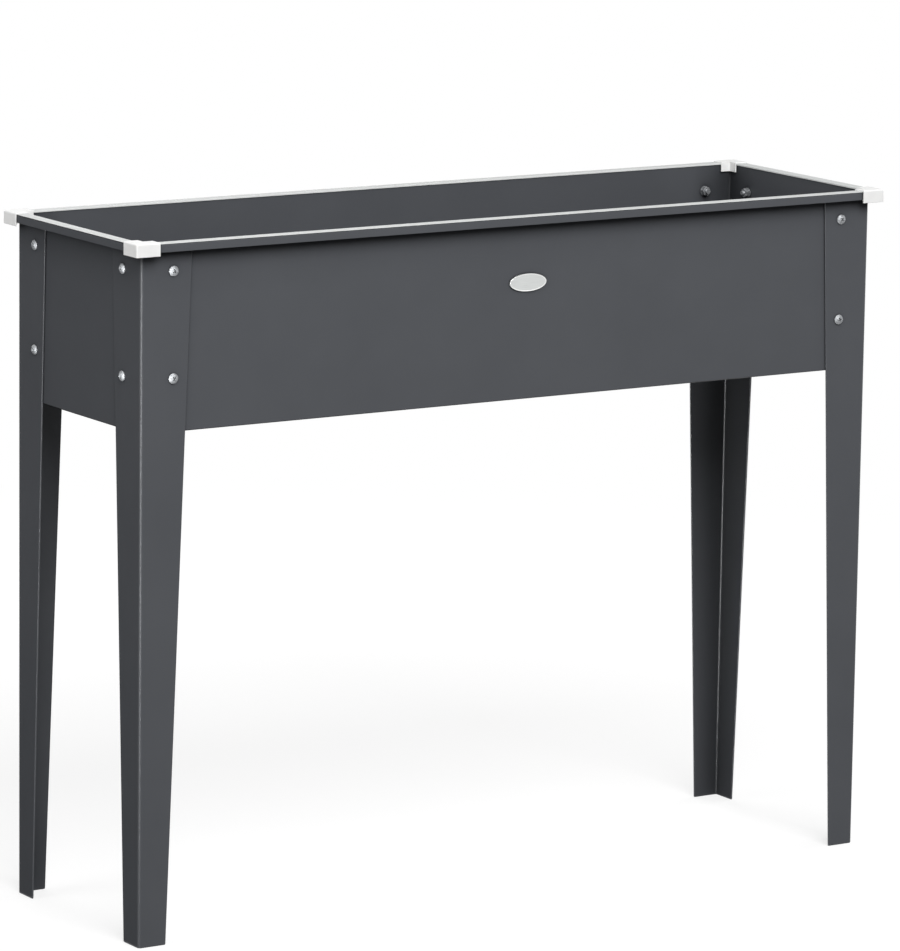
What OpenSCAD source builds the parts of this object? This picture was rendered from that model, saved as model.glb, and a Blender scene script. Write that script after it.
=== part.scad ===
// Elevated planter: a rectangular sheet-steel trough on four tapered angle legs.
// Origin: middle of the rectangle of feet, on the floor. X runs along the length, the front faces -Y, Z is up.
// Distances called "inward" start at the outer face of the leg flanges and grow towards the soil.

/* [Overall] */
// Length over the outer faces of the legs
body_l = 991; // [700:1:1300]
// Width over the outer faces of the legs
body_w = 286; // [240:1:450]
// Height from the floor to the top of the corner caps
total_h = 800; // [600:1:950]
// Depth of the box, from the top of the caps to its bottom edge
box_depth = 215; // [200:1:320]

/* [Sheet steel] */
// Thickness of the panel and floor sheet
panel_t = 0.8; // [0.6:0.1:1.5]
// Thickness of the leg sheet
leg_t = 2; // [1:0.1:3]
// Inside radius of the bends in the panels
panel_bend_r = 0.6; // [0.4:0.1:1.2]
// Inside radius of the fold of a leg
leg_bend_r = 2.2; // [0.8:0.1:3]
// Clearance between a panel end and the inside of the leg's fold
corner_fit = 0.4; // [0.2:0.1:1]

/* [Legs] */
// Width of each leg flange under the rim
leg_top_w = 65; // [58:1:90]
// Width of each leg flange at the foot
leg_foot_w = 35; // [20:1:55]
// Radius of the free corner of each flange at the foot
foot_corner_r = 1.5; // [0.5:0.1:4]

/* [Rim] */
// How far the lip stands out past the leg faces
rim_out = 10.8; // [8:0.1:20]
// Height of the lip
lip_h = 9.3; // [6:0.1:16]
// Width of the ledge folded inward along the bottom of each panel
ledge_w = 20; // [14:1:35]

/* [Rim strips] */
// Thickness of the plastic strip on the rim
strip_t = 0.7; // [0.6:0.1:2]
// Height of the edge that the strip turns down inside the box
strip_edge_h = 2; // [1.5:0.1:6]
// Clearance between that edge and the panel
strip_fit = 0.1; // [0.1:0.1:0.4]

/* [Corner caps] */
// Wall thickness of a corner cap
cap_t = 1.5; // [1:0.1:2.5]
// Clearance between a cap and the rim inside it
cap_fit = 0.2; // [0.1:0.1:0.6]
// Length of each arm of a cap, from its outer corner
cap_arm = 30; // [24:1:45]
// How far the cap reaches below the lip
cap_skirt = 3.8; // [2.5:0.1:8]
// Height of the cap's inner wall
cap_inner_h = 12; // [6:0.5:20]
// Radius of the cap's upright outer corner
cap_corner_r = 2.4; // [1.6:0.1:5]
// Thickness of the catch that hooks under the lip
cap_catch_t = 1.2; // [0.8:0.1:2]
// How far the catch reaches in under the lip
cap_catch_reach = 0.9; // [0.5:0.1:2]

/* [Bolts] */
// Diameter of the bolt shank
bolt_d = 6; // [5:0.5:8]
// Length of the bolt under its head
bolt_l = 12; // [11:1:20]
// Diameter of the bolt head
head_d = 11.8; // [11:0.1:16]
// Height of the bolt head
head_h = 3.8; // [3:0.1:5]
// Height of the straight side of the head
head_side_h = 1.1; // [0.6:0.1:2]
// Length of the cross recess over both slots
recess_l = 6.4; // [4:0.1:8]
// Width of each slot of the cross recess
recess_w = 1.5; // [1:0.1:2]
// Depth of the cross recess
recess_depth = 2.2; // [1:0.1:2.6]
// How much wider the bolt holes are than the shank
bolt_hole_fit = 0.6; // [0.4:0.1:1]
// Distance from the fold of the leg to the bolts
bolt_from_fold = 41; // [27:1:46]
// Distance from the cap tops down to the upper bolts
bolt_top_drop = 34.4; // [28:0.1:50]
// Distance between upper and lower bolts
bolt_pitch = 120; // [60:1:130]
// Outer diameter of the washer inside the box
washer_d = 12; // [11:0.5:18]
// Thickness of the washer
washer_t = 1.2; // [0.8:0.1:2]
// Width of the nut over its flats
nut_af = 10; // [9:0.5:13]
// Height of the nut
nut_h = 5; // [4:0.1:6.5]
// How much wider the bores of nut and washer are than the shank
thread_fit = 0.1; // [0.1:0.05:0.4]

/* [Floor] */
// Height of the floor's upper face above the ledges it stands on
floor_rise = 15; // [10:0.5:25]
// Clearance between the floor's folded edges and the bends of the panels
floor_fit = 0.3; // [0.2:0.1:1]
// Width of a channel's web
stiffener_w = 30; // [20:1:50]
// Width of each of its two welding flanges
stiffener_flange_w = 10; // [6:1:16]
// Clearance between a channel's ends and the floor's folded edges
stiffener_fit = 0.3; // [0.2:0.1:1]
// Diameter of the drain holes
drain_d = 10; // [6:0.5:16]
// Drain holes along the length between two channels
drains_per_bay = 2; // [1:1:3]
// Distance between the two rows of drain holes
drain_row_pitch = 130; // [60:1:150]

/* [Badge] */
// Length of the oval badge
badge_l = 50; // [30:1:80]
// Height of the oval badge
badge_h = 20.6; // [12:0.2:40]
// Thickness of the badge at its raised border
badge_t = 1.8; // [1:0.1:3]
// Width of the raised border
badge_border_w = 1.4; // [0.8:0.1:3]
// Depth of the field inside the border
badge_field_drop = 0.5; // [0.2:0.1:0.8]
// Distance from the middle of the front to the badge, along X
badge_x = 13; // [-200:1:200]
// Distance from the cap tops down to the middle of the badge
badge_drop = 79.5; // [50:0.5:120]

/* [Hidden] */
$fn = 48;

// Finishes
steel_colour = [0.30, 0.31, 0.33];
plastic_colour = [0.95, 0.95, 0.94];
zinc_colour = [0.78, 0.78, 0.77];
badge_colour = [0.80, 0.81, 0.81];

// Heights above the floor
strip_top_z = total_h - cap_t;
rim_z = strip_top_z - strip_t;
box_z = total_h - box_depth;
ledge_z = box_z + panel_t;
floor_top_z = ledge_z + floor_rise;
floor_under_z = floor_top_z - panel_t;
upper_bolt_z = total_h - bolt_top_drop;
bolt_zs = [upper_bolt_z, upper_bolt_z - bolt_pitch];

// Inward distances
wall_in = leg_t + panel_t;
strip_in = wall_in + strip_fit + strip_t;
cap_in = strip_in + cap_fit + cap_t;
cap_out = rim_out + cap_fit + cap_t;
floor_in = wall_in + panel_bend_r + floor_fit;

// Bends and corner mitres
panel_bend_out = panel_bend_r + panel_t;
leg_bend_out = leg_bend_r + leg_t;
leg_top_z = rim_z - panel_bend_out;
mitre_gap = leg_bend_r + corner_fit;

// Floor layout: the three channels split the floor into equal bays
stiffener_count = 3;
floor_l = body_l - 2 * floor_in;
floor_w = body_w - 2 * floor_in;
bay_l = floor_l / (stiffener_count + 1);
stiffener_l = floor_w - 2 * (panel_t + stiffener_fit);

badge_sides = 64;
recess_over = 1;

// A quarter ring of sheet round the origin, turned by a number of quarters
module sheet_bend(inner_r, outer_r, quarter) {
    rotate(90 * quarter)
        intersection() {
            difference() {
                circle(outer_r);
                circle(inner_r);
            }
            square(outer_r);
        }
}

module panel_bend(quarter) {
    sheet_bend(panel_bend_r, panel_bend_out, quarter);
}

// Section of a panel, inward distance across and height up: lip, rim flange, wall and ledge
module panel_section() {
    flange_l = rim_out + wall_in - 2 * panel_bend_out;
    wall_h = rim_z - box_z - 2 * panel_bend_out;
    translate([-rim_out, rim_z - lip_h]) square([panel_t, lip_h - panel_bend_out]);
    translate([-rim_out + panel_bend_out, rim_z - panel_bend_out]) panel_bend(1);
    translate([-rim_out + panel_bend_out, rim_z - panel_t]) square([flange_l, panel_t]);
    translate([wall_in - panel_bend_out, rim_z - panel_bend_out]) panel_bend(0);
    translate([leg_t, box_z + panel_bend_out]) square([panel_t, wall_h]);
    translate([leg_t + panel_bend_out, box_z + panel_bend_out]) panel_bend(2);
    translate([leg_t + panel_bend_out, box_z]) square([ledge_w - panel_bend_out, panel_t]);
}

// Section of a rim strip, lying on the flange and turned down inside the box
module strip_section() {
    translate([-rim_out, rim_z]) square([rim_out + strip_in, strip_t]);
    translate([strip_in - strip_t, strip_top_z - strip_edge_h]) square([strip_t, strip_edge_h]);
}

// Runs a section along a side of the planter and cuts both ends at 45 degrees
module mitred_side(side_l, inward) {
    outer_half = side_l / 2 + rim_out - mitre_gap;
    inner_half = side_l / 2 - inward - mitre_gap;
    intersection() {
        rotate([90, 0, 90])
            linear_extrude(2 * outer_half, center = true)
                children();
        linear_extrude(total_h)
            polygon([
                [-outer_half, -rim_out], [outer_half, -rim_out],
                [inner_half, inward], [-inner_half, inward]
            ]);
    }
}

// Places a side that was drawn with its outer leg face on the X axis
module at_front() {
    translate([0, -body_w / 2, 0]) children();
}

module at_back() {
    mirror([0, 1, 0]) at_front() children();
}

module at_left() {
    translate([-body_l / 2, 0, 0]) rotate(-90) children();
}

module at_right() {
    mirror([1, 0, 0]) at_left() children();
}

// Places a piece that was drawn with the fold of its leg on the Z axis and both flanges along +X and +Y
module at_corner(right, rear) {
    mirror([right, 0, 0])
        mirror([0, rear, 0])
            translate([-body_l / 2, -body_w / 2, 0])
                children();
}

// Turns a piece drawn along +Y, through the front flange, into the end flange
module into_end_flange() {
    mirror([1, -1, 0]) children();
}

// Repeats a piece at the four bolt places of a leg, its axis along +Y with the leg's outer face at y = 0
module at_bolts() {
    for (z = bolt_zs) {
        translate([bolt_from_fold, 0, z]) children();
        into_end_flange() translate([bolt_from_fold, 0, z]) children();
    }
}

// A cylinder along +Y
module rod(d, l) {
    rotate([-90, 0, 0]) cylinder(d = d, h = l);
}

// Bolt holes of one side, at both of its ends
module side_bolt_holes(side_l) {
    for (end = [-1, 1], z = bolt_zs)
        translate([end * (side_l / 2 - bolt_from_fold), 0, z])
            rod(bolt_d + bolt_hole_fit, leg_t + 2 * panel_t);
}

module side_panel(side_l) {
    color(steel_colour)
        difference() {
            mitred_side(side_l, leg_t + ledge_w) panel_section();
            side_bolt_holes(side_l);
        }
}

module rim_strip(side_l) {
    color(plastic_colour) mitred_side(side_l, strip_in) strip_section();
}

// The flange outline of a leg seen square on, with its free corner rounded at the foot
module flange_outline() {
    slope = atan((leg_top_w - leg_foot_w) / leg_top_z);
    centre_x = leg_foot_w + foot_corner_r * (tan(slope) - 1 / cos(slope));
    union() {
        difference() {
            polygon([[0, 0], [leg_foot_w, 0], [leg_top_w, leg_top_z], [0, leg_top_z]]);
            translate([centre_x, 0]) square([2 * foot_corner_r, foot_corner_r]);
        }
        translate([centre_x, foot_corner_r]) circle(foot_corner_r);
    }
}

module leg_section() {
    straight_l = leg_top_w - leg_bend_out;
    translate([leg_bend_out, leg_bend_out]) sheet_bend(leg_bend_r, leg_bend_out, 2);
    translate([leg_bend_out, 0]) square([straight_l, leg_t]);
    translate([0, leg_bend_out]) square([leg_t, straight_l]);
}

// A plate in the XZ plane, thick enough to cover the whole width of a flange
module across_leg() {
    translate([0, leg_top_w, 0]) rotate([90, 0, 0]) linear_extrude(leg_top_w) children();
}

module leg() {
    color(steel_colour)
        difference() {
            intersection() {
                linear_extrude(leg_top_z) leg_section();
                across_leg() flange_outline();
                into_end_flange() across_leg() flange_outline();
            }
            at_bolts() translate([0, -leg_t, 0]) rod(bolt_d + bolt_hole_fit, 3 * leg_t);
        }
}

// Plan of a cap between two inward distances, with both arms running from the outer corner
module cap_plan(outer, inner) {
    arm_end = cap_arm - cap_out;
    difference() {
        translate([-outer, -outer]) square(arm_end + outer);
        translate([inner, inner]) square(cap_arm + inner + outer);
    }
}

// The cap is cut from its own outline, so the upright corner is round outside and inside
module rounded_corner_plan(outer, r) {
    side = cap_arm - cap_out + outer;
    translate([-outer, -outer]) {
        translate([r, r]) circle(r);
        translate([r, 0]) square([side - r, side]);
        translate([0, r]) square([side, side - r]);
    }
}

module corner_cap() {
    bottom_z = rim_z - lip_h - cap_skirt;
    catch_top_z = rim_z - lip_h - cap_fit;
    lip_side = rim_out + cap_fit;
    inner_gap = strip_in + cap_fit;
    color(plastic_colour)
        intersection() {
            translate([0, 0, bottom_z])
                linear_extrude(total_h - bottom_z)
                    rounded_corner_plan(cap_out, cap_corner_r);
            union() {
                translate([0, 0, strip_top_z]) linear_extrude(cap_t) cap_plan(cap_out, cap_in);
                translate([0, 0, bottom_z])
                    linear_extrude(strip_top_z - bottom_z) cap_plan(cap_out, -lip_side);
                translate([0, 0, total_h - cap_inner_h])
                    linear_extrude(cap_inner_h - cap_t) cap_plan(-inner_gap, cap_in);
                translate([0, 0, catch_top_z - cap_catch_t])
                    linear_extrude(cap_catch_t) cap_plan(lip_side, -(rim_out - cap_catch_reach));
            }
        }
}

// Pan-head bolt with a cross recess, seated on y = 0 with its shank along +Y
module bolt() {
    crown_h = head_h - head_side_h;
    crown_r = (pow(head_d / 2, 2) + pow(crown_h, 2)) / (2 * crown_h);
    rod(bolt_d, bolt_l);
    difference() {
        intersection() {
            translate([0, -head_h, 0]) rod(head_d, head_h);
            translate([0, crown_r - head_h, 0]) rotate([90, 0, 0]) sphere(crown_r);
        }
        for (turn = [0, 90])
            rotate([0, turn, 0])
                translate([-recess_l / 2, -head_h - recess_over, -recess_w / 2])
                    cube([recess_l, recess_depth + recess_over, recess_w]);
    }
}

module washer() {
    difference() {
        rod(washer_d, washer_t);
        translate([0, -washer_t, 0]) rod(bolt_d + thread_fit, 3 * washer_t);
    }
}

module nut() {
    corner_d = nut_af / cos(30);
    difference() {
        rotate([-90, 0, 0]) cylinder(d = corner_d, h = nut_h, $fn = 6);
        translate([0, -nut_h, 0]) rod(bolt_d + thread_fit, 3 * nut_h);
    }
}

module bolts() {
    color(zinc_colour) at_bolts() bolt();
}

module washers() {
    color(zinc_colour) at_bolts() translate([0, wall_in, 0]) washer();
}

module nuts() {
    color(zinc_colour) at_bolts() translate([0, wall_in + washer_t, 0]) nut();
}

// The floor is a shallow pan turned over, whose folded edges stand on the ledges
module floor_panel() {
    color(steel_colour)
        difference() {
            translate([-floor_l / 2, -floor_w / 2, ledge_z])
                cube([floor_l, floor_w, floor_rise]);
            translate([panel_t - floor_l / 2, panel_t - floor_w / 2, box_z])
                cube([floor_l - 2 * panel_t, floor_w - 2 * panel_t, floor_under_z - box_z]);
            for (bay = [0 : stiffener_count], hole = [1 : drains_per_bay], row = [-1, 1])
                translate([
                    (bay + (hole - 0.5) / drains_per_bay) * bay_l - floor_l / 2,
                    row * drain_row_pitch / 2,
                    box_z
                ])
                    cylinder(d = drain_d, h = floor_rise + 2 * panel_t);
        }
}

// Section of a hat channel, its web on the ledges and its flanges welded under the floor
module stiffener_section() {
    channel_h = floor_under_z - ledge_z;
    difference() {
        translate([-stiffener_w / 2, 0]) square([stiffener_w, channel_h]);
        translate([panel_t - stiffener_w / 2, panel_t]) square([stiffener_w - 2 * panel_t, channel_h]);
    }
    for (side = [-1, 1])
        translate([side * (stiffener_w + stiffener_flange_w - panel_t) / 2, channel_h - panel_t / 2])
            square([stiffener_flange_w + panel_t, panel_t], center = true);
}

module floor_stiffener(index) {
    color(steel_colour)
        translate([(index + 1) * bay_l - floor_l / 2, stiffener_l / 2, ledge_z])
            rotate([90, 0, 0])
                linear_extrude(stiffener_l)
                    stiffener_section();
}

function oval(length, height) = [
    for (i = [0 : badge_sides - 1])
        [length / 2 * cos(360 * i / badge_sides), height / 2 * sin(360 * i / badge_sides)]
];

module badge() {
    color(badge_colour)
        translate([badge_x, leg_t - body_w / 2, total_h - badge_drop])
            rotate([90, 0, 0])
                difference() {
                    linear_extrude(badge_t) polygon(oval(badge_l, badge_h));
                    translate([0, 0, badge_t - badge_field_drop])
                        linear_extrude(badge_t)
                            polygon(oval(badge_l - 2 * badge_border_w, badge_h - 2 * badge_border_w));
                }
}

at_front() side_panel(body_l);  // front_panel
at_back() side_panel(body_l);  // back_panel
at_left() side_panel(body_w);  // left_end_panel
at_right() side_panel(body_w);  // right_end_panel
floor_panel();
floor_stiffener(0);  // floor_stiffener_left
floor_stiffener(1);  // floor_stiffener_middle
floor_stiffener(2);  // floor_stiffener_right
at_corner(0, 0) leg();  // leg_front_left
at_corner(1, 0) leg();  // leg_front_right
at_corner(0, 1) leg();  // leg_rear_left
at_corner(1, 1) leg();  // leg_rear_right
at_corner(0, 0) corner_cap();  // corner_cap_front_left
at_corner(1, 0) corner_cap();  // corner_cap_front_right
at_corner(0, 1) corner_cap();  // corner_cap_rear_left
at_corner(1, 1) corner_cap();  // corner_cap_rear_right
at_front() rim_strip(body_l);  // rim_strip_front
at_back() rim_strip(body_l);  // rim_strip_back
at_left() rim_strip(body_w);  // rim_strip_left
at_right() rim_strip(body_w);  // rim_strip_right
at_corner(0, 0) bolts();  // bolts_front_left
at_corner(1, 0) bolts();  // bolts_front_right
at_corner(0, 1) bolts();  // bolts_rear_left
at_corner(1, 1) bolts();  // bolts_rear_right
at_corner(0, 0) washers();  // washers_front_left
at_corner(1, 0) washers();  // washers_front_right
at_corner(0, 1) washers();  // washers_rear_left
at_corner(1, 1) washers();  // washers_rear_right
at_corner(0, 0) nuts();  // nuts_front_left
at_corner(1, 0) nuts();  // nuts_front_right
at_corner(0, 1) nuts();  // nuts_rear_left
at_corner(1, 1) nuts();  // nuts_rear_right
badge();
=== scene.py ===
"""Dress the elevated planter: a sheet-steel trough with a white rim on four tapered angle legs.

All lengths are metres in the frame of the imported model: the floor is z = 0, X runs along the length
and the front faces -Y. "Inward" is the distance from the outer face of the legs into the box.
"""

import logging
import math
from collections.abc import Iterable
from dataclasses import dataclass, field
from enum import Enum

import bmesh
import bpy
from mathutils import Matrix, Vector


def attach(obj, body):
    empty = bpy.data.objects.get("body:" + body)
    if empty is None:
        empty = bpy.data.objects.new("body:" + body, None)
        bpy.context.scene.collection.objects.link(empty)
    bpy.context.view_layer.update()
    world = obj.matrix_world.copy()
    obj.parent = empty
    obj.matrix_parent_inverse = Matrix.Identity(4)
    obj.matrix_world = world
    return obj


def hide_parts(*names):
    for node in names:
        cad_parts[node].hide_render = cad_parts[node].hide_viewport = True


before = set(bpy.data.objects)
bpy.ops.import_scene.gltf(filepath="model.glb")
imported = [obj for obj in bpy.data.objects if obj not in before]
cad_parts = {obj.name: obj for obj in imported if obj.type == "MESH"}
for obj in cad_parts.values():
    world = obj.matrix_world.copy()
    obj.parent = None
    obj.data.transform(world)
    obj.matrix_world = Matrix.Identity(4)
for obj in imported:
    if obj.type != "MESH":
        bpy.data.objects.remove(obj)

log = logging.getLogger("planter")

MM = 0.001
# Places that lie closer than TINY count as one when edges are picked. Vertices closer than WELD are merged.
TINY = 0.01 * MM
WELD = 0.002 * MM
WHITE = (1.0, 1.0, 1.0, 1.0)


def linear(hex_colour: str) -> tuple[float, float, float, float]:
    """Turn an sRGB hex colour into linear RGBA.

    Args:
        hex_colour: the colour as "#RRGGBB".

    Returns:
        The linear red, green, blue and an alpha of 1.
    """
    parts = [int(hex_colour[i : i + 2], 16) / 255 for i in (1, 3, 5)]
    red, green, blue = (c / 12.92 if c <= 0.04045 else ((c + 0.055) / 1.055) ** 2.4 for c in parts)
    return red, green, blue, 1.0


def connect(tree: bpy.types.NodeTree, node: bpy.types.Node, inputs: dict[str | int, object]) -> None:
    """Set or link a node's input sockets.

    Args:
        tree: the node tree that holds the node.
        node: the node.
        inputs: socket name or number to a plain value, or to an output socket to link from.
    """
    for key, value in inputs.items():
        if isinstance(value, bpy.types.NodeSocket):
            tree.links.new(value, node.inputs[key])
        else:
            node.inputs[key].default_value = value


def add_node(
    tree: bpy.types.NodeTree,
    kind: str,
    inputs: dict[str | int, object] | None = None,
    stops: Iterable[tuple[float, str]] | None = None,
    **settings: object,
) -> bpy.types.Node:
    """Add one node with its settings, socket values and links.

    Args:
        tree: the node tree that gets the node.
        kind: the node's type name.
        inputs: socket name or number to a plain value, or to an output socket to link from.
        stops: the place and hex colour of each stop, for a colour ramp.
        **settings: properties of the node itself.

    Returns:
        The new node.
    """
    node = tree.nodes.new(kind)
    for name, value in settings.items():
        setattr(node, name, value)
    if stops:
        for stop, (place, colour) in zip(node.color_ramp.elements, stops):
            stop.position, stop.color = place, linear(colour)
    connect(tree, node, inputs or {})
    return node


class Slot(Enum):
    """The material slots of the record."""

    STEEL = "powder_coated_steel"
    CAP = "moulded_plastic"
    STRIP = "extruded_plastic"
    ZINC = "zinc_plated_steel"
    BADGE = "satin_badge_metal"


class Side(Enum):
    """The four sides of the trough, as quarter turns from the front."""

    FRONT = 0
    RIGHT = 1
    BACK = 2
    LEFT = 3


class Corner(Enum):
    """The four corners, as the signs of X and Y."""

    FRONT_LEFT = (-1, -1)
    FRONT_RIGHT = (1, -1)
    REAR_LEFT = (-1, 1)
    REAR_RIGHT = (1, 1)


class Run(Enum):
    """The axis along which a strip was extruded."""

    ALONG_X = 0
    ALONG_Y = 1


class Rounding(Enum):
    """What a bevel rounds: the edges of a solid or the corners of a flat outline."""

    EDGES = "EDGES"
    CORNERS = "VERTICES"


def start_material(name: str) -> tuple[bpy.types.Material, bpy.types.NodeTree, bpy.types.NodeSocket]:
    """Start a material whose patterns lie on Object coordinates.

    Args:
        name: the material's name.

    Returns:
        The material, its node tree and the output that gives the coordinates.
    """
    material = bpy.data.materials.new(name)
    material.use_nodes = True
    tree = material.node_tree
    return material, tree, add_node(tree, "ShaderNodeTexCoord").outputs["Object"]


@dataclass(frozen=True)
class PowderCoat:
    """Dark grey polyester powder coat, baked on sheet steel.

    The baked film is even and matt with a slight sheen. It has a fine orange peel of about 0.5 mm, drawn
    at 1.6 mm because the real one is too fine to show, and its tone drifts a little over a hand's width.
    Shade is painted in: in the corners under the rim and along the seams an occlusion test makes the
    colour darker and the reflection duller, most so where only the share set for full shade is left
    open round them. A lighter copy of the coat on the cut edges paints in their highlight.
    """

    part: str = "sheet"
    colour: str = "#4E5054"
    colour_thin: str = "#4B4D51"
    tone_span: tuple[float, float] = (0.3, 0.7)
    roughness: float = 0.42
    roughness_swing: float = 0.04
    specular: float = 0.18
    ior: float = 1.5
    peel_size: float = 1.6 * MM
    peel_height: float = 0.02 * MM
    peel_strength: float = 0.35
    drift_size: float = 90 * MM
    drift_detail: float = 3.0
    drift_roughness: float = 0.55
    shade_reach: float = 60 * MM
    shade_full_at: float = 0.6
    shade_tone: float = 0.44
    shade_gloss: float = 0.1
    shade_samples: int = 12

    def make(self) -> bpy.types.Material:
        """Build the material and return it."""
        material, tree, place = start_material(f"powder_coat_dark_grey_{self.part}")
        broad = {"Vector": place, "Scale": 1 / self.drift_size, "Roughness": self.drift_roughness}
        drift = add_node(tree, "ShaderNodeTexNoise", {**broad, "Detail": self.drift_detail})
        stops = zip(self.tone_span, (self.colour_thin, self.colour))
        tone = add_node(tree, "ShaderNodeValToRGB", {"Fac": drift.outputs["Fac"]}, stops)
        fine = {"Vector": place, "Scale": 1 / self.peel_size}
        peel = add_node(tree, "ShaderNodeTexNoise", fine).outputs["Fac"]
        low, high = self.roughness - self.roughness_swing, self.roughness + self.roughness_swing
        sheen = add_node(tree, "ShaderNodeMapRange", {"Value": peel, "To Min": low, "To Max": high})
        relief = {"Height": peel, "Strength": self.peel_strength, "Distance": self.peel_height}
        bump = add_node(tree, "ShaderNodeBump", relief)
        # Painted shade: the occlusion test darkens the colour in corners, under the rim and along the seams.
        reach = {"Distance": self.shade_reach}
        near = add_node(tree, "ShaderNodeAmbientOcclusion", reach, samples=self.shade_samples)
        shade_span = {"Value": near.outputs["AO"], "From Min": self.shade_full_at}
        painted_shade = add_node(tree, "ShaderNodeMapRange", {**shade_span, "To Min": self.shade_tone})
        dimmed = {0: tone.outputs["Color"], "Scale": painted_shade.outputs["Result"]}
        shaded_colour = add_node(tree, "ShaderNodeVectorMath", dimmed, operation="SCALE")
        shader = tree.nodes["Principled BSDF"]
        look = {
            "Base Color": shaded_colour.outputs["Vector"],
            "Roughness": sheen.outputs["Result"],
            "Normal": bump.outputs["Normal"],
            "IOR": self.ior,
            "Specular IOR Level": self.specular,
        }
        connect(tree, shader, look)
        # The reflection is dimmed in the same places, painted shade on the sheen.
        if self.shade_gloss < 1.0:
            dull = self.specular * self.shade_gloss
            gloss = add_node(tree, "ShaderNodeMapRange", {**shade_span, "To Min": dull, "To Max": self.specular})
            connect(tree, shader, {"Specular IOR Level": gloss.outputs["Result"]})
        return material


@dataclass(frozen=True)
class MouldedPlastic:
    """White UV-stable polypropylene, injection moulded in a lightly spark-eroded tool.

    It is a soft satin white that light enters a little, so its edges glow. The erosion grain is about
    0.2 mm and is drawn at 0.9 mm to show at all.
    """

    colour: str = "#EEEEED"
    colour_low: str = "#EAEAE9"
    tone_span: tuple[float, float] = (0.3, 0.7)
    roughness: float = 0.6
    roughness_swing: float = 0.05
    specular: float = 0.1
    ior: float = 1.49
    grain_size: float = 0.9 * MM
    grain_height: float = 0.015 * MM
    grain_strength: float = 0.3
    flow_size: float = 14 * MM
    glow: float = 0.15
    glow_depth: float = 1.5 * MM
    glow_tint: tuple[float, float, float] = (1.0, 0.95, 0.9)

    def make(self) -> bpy.types.Material:
        """Build the material and return it."""
        material, tree, place = start_material("moulded_polypropylene_white")
        erosion = {"Vector": place, "Scale": 1 / self.grain_size}
        grain = add_node(tree, "ShaderNodeTexNoise", erosion).outputs["Fac"]
        flow = add_node(tree, "ShaderNodeTexNoise", {"Vector": place, "Scale": 1 / self.flow_size})
        stops = zip(self.tone_span, (self.colour_low, self.colour))
        tone = add_node(tree, "ShaderNodeValToRGB", {"Fac": flow.outputs["Fac"]}, stops)
        low, high = self.roughness - self.roughness_swing, self.roughness + self.roughness_swing
        satin = add_node(tree, "ShaderNodeMapRange", {"Value": grain, "To Min": low, "To Max": high})
        relief = {"Height": grain, "Strength": self.grain_strength, "Distance": self.grain_height}
        bump = add_node(tree, "ShaderNodeBump", relief)
        look = {
            "Base Color": tone.outputs["Color"],
            "Roughness": satin.outputs["Result"],
            "Normal": bump.outputs["Normal"],
            "IOR": self.ior,
            "Specular IOR Level": self.specular,
            "Subsurface Weight": self.glow,
            "Subsurface Radius": self.glow_tint,
            "Subsurface Scale": self.glow_depth,
        }
        connect(tree, tree.nodes["Principled BSDF"], look)
        return material


@dataclass(frozen=True)
class ExtrudedPlastic:
    """White rigid PVC strip, drawn through a die.

    It is glossier than the caps, with faint die lines that run the whole length. Real die lines lie
    0.3 mm apart and are drawn about 1.1 mm apart.
    """

    run: Run
    colour: str = "#D6D8D7"
    colour_low: str = "#CFD1D0"
    tone_span: tuple[float, float] = (0.25, 0.75)
    roughness: float = 0.5
    specular: float = 0.3
    ior: float = 1.53
    lines_per_metre: float = 900.0
    waves_per_metre: float = 12.0
    line_height: float = 0.02 * MM
    line_strength: float = 0.25

    def make(self) -> bpy.types.Material:
        """Build the material and return it."""
        material, tree, place = start_material(f"extruded_pvc_white_{self.run.name.lower()}")
        scale = [self.lines_per_metre] * 3
        scale[self.run.value] = self.waves_per_metre
        drawn = add_node(tree, "ShaderNodeMapping", {"Vector": place, "Scale": scale}).outputs["Vector"]
        die = {"Vector": drawn, "Scale": 1.0, "Detail": 1.0}
        lines = add_node(tree, "ShaderNodeTexNoise", die).outputs["Fac"]
        stops = zip(self.tone_span, (self.colour_low, self.colour))
        tone = add_node(tree, "ShaderNodeValToRGB", {"Fac": lines}, stops)
        relief = {"Height": lines, "Strength": self.line_strength, "Distance": self.line_height}
        bump = add_node(tree, "ShaderNodeBump", relief)
        look = {
            "Base Color": tone.outputs["Color"],
            "Normal": bump.outputs["Normal"],
            "Roughness": self.roughness,
            "IOR": self.ior,
            "Specular IOR Level": self.specular,
        }
        connect(tree, tree.nodes["Principled BSDF"], look)
        return material


@dataclass(frozen=True)
class ZincPlate:
    """Bright electroplated zinc on steel fasteners.

    It is a pale, faintly blue metal, brighter and smoother where the passivation is thin. The mottle is
    about a millimetre across.
    """

    colour: str = "#A2A4A6"
    colour_dull: str = "#75777A"
    tone_span: tuple[float, float] = (0.35, 0.65)
    roughness: float = 0.57
    roughness_dull: float = 0.70
    mottle_size: float = 1.4 * MM
    mottle_detail: float = 3.0

    def make(self) -> bpy.types.Material:
        """Build the material and return it."""
        material, tree, place = start_material("zinc_plate_bright")
        spangle = {"Vector": place, "Scale": 1 / self.mottle_size, "Detail": self.mottle_detail}
        mottle = add_node(tree, "ShaderNodeTexNoise", spangle).outputs["Fac"]
        stops = zip(self.tone_span, (self.colour_dull, self.colour))
        tone = add_node(tree, "ShaderNodeValToRGB", {"Fac": mottle}, stops)
        polish = {"Value": mottle, "To Min": self.roughness_dull, "To Max": self.roughness}
        gloss = add_node(tree, "ShaderNodeMapRange", polish)
        look = {"Base Color": tone.outputs["Color"], "Roughness": gloss.outputs["Result"], "Metallic": 1.0}
        connect(tree, tree.nodes["Principled BSDF"], look)
        return material


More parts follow.
